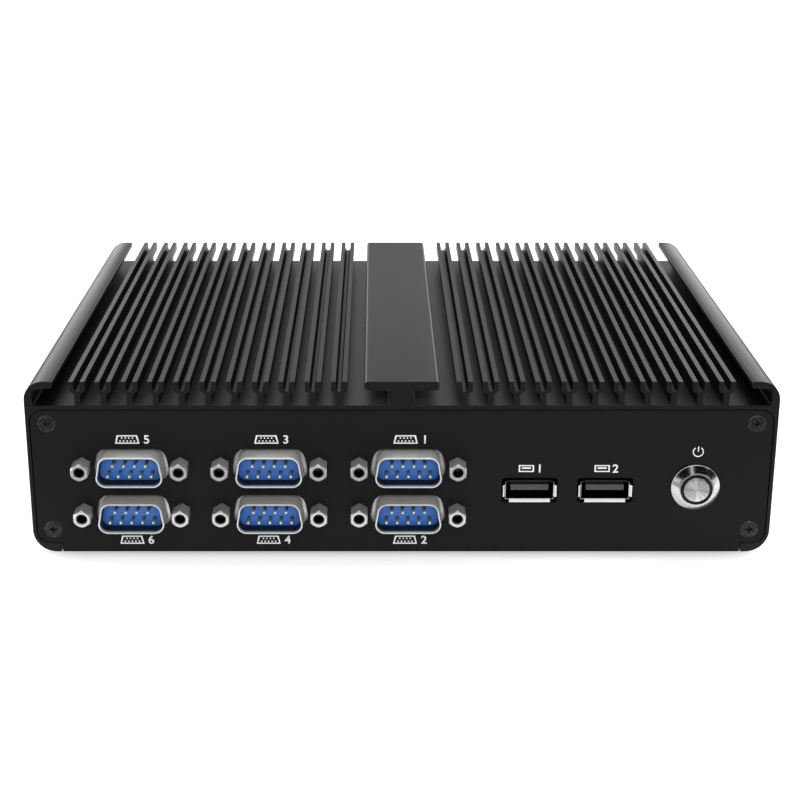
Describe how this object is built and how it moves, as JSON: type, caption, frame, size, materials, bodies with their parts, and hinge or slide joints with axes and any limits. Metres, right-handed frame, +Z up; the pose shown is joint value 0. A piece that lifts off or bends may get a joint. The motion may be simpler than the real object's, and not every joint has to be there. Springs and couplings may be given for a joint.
{
  "type": "fanless industrial pc",
  "caption": "Fanless box computer: finned black housing with flush end panels, serial and USB ports and a round power button in front.",
  "frame": {"origin": "middle of the overall outline, on the surface that the rubber feet stand on", "axes": "+X to the right seen from the front, +Y from the front panel to the back, +Z up"},
  "size_m": [0.19, 0.1396, 0.049],
  "materials": {
    "black_anodised_housing": "satin",
    "black_anodised_panel": "satin",
    "black_painted_cover": "matte",
    "foot_rubber": "matte",
    "black_screw_steel": "satin",
    "zinc_steel": "satin",
    "nickel_jackscrew": "polished",
    "nickel_shell": "satin",
    "gold_contact": "polished",
    "blue_insulator": "satin",
    "usb_shell_steel": "polished",
    "usb_insert_plastic": "satin",
    "button_steel": "satin",
    "button_ring": "satin",
    "button_cap_steel": "satin",
    "black_plastic": "satin",
    "circuit_board": "satin",
    "chip_package": "satin",
    "thermal_pad": "matte",
    "bare_aluminium": "satin",
    "ribbon_grey": "matte"
  },
  "bodies": {
    "case": {"antenna_plugs": "black_plastic", "audio_jacks": "black_plastic", "battery_holder": "black_plastic", "board_screws": "zinc_steel", "board_standoffs": "zinc_steel", "bottom_cover": "black_painted_cover", "coin_cell": "nickel_shell", "com_1_insulator": "blue_insulator", "com_1_shell": "nickel_shell", "com_2_insulator": "blue_insulator", "com_2_shell": "nickel_shell", "com_3_insulator": "blue_insulator", "com_3_shell": "nickel_shell", "com_4_insulator": "blue_insulator", "com_4_shell": "nickel_shell", "com_5_insulator": "blue_insulator", "com_5_shell": "nickel_shell", "com_6_insulator": "blue_insulator", "com_6_shell": "nickel_shell", "com_board": "circuit_board", "com_pins": "gold_contact", "com_ribbon": "ribbon_grey", "cover_screws": "black_screw_steel", "dc_jack": "black_plastic", "dc_jack_pin": "nickel_shell", "front_panel": "black_anodised_panel", "hdmi_shell": "nickel_shell", "hdmi_tongue": "black_plastic", "heat_block": "bare_aluminium", "lan_sockets": "nickel_shell", "mainboard": "circuit_board", "memory_module": "circuit_board", "memory_socket": "black_plastic", "panel_screws": "black_screw_steel", "port_jackscrews": "nickel_jackscrew", "power_button_base": "black_plastic", "power_button_bezel": "button_steel", "power_button_nut": "zinc_steel", "power_button_ring": "button_ring", "press_nuts": "zinc_steel", "processor": "chip_package", "rear_panel": "black_anodised_panel", "rear_usb_shells": "nickel_shell", "rear_usb_tongues": "blue_insulator", "ribbon_headers": "black_plastic", "rubber_feet": "foot_rubber", "ssd_card": "circuit_board", "ssd_socket": "black_plastic", "thermal_pad": "thermal_pad", "top_housing": "black_anodised_housing", "usb_1_insert": "usb_insert_plastic", "usb_1_shell": "usb_shell_steel", "usb_2_insert": "usb_insert_plastic", "usb_2_shell": "usb_shell_steel", "usb_board": "circuit_board", "usb_contacts": "gold_contact", "vga_insert": "blue_insulator", "vga_shell": "nickel_shell"},
    "button": {"power_button_cap": "button_cap_steel"}
  },
  "joints": [
    {"name": "power_button_press", "type": "slide", "parent": "case", "child": "button", "axis": [0, 1, 0], "range_m": [0, 0.0012], "stiffness_N_per_m": 800, "springref_m": -0.001}
  ]
}
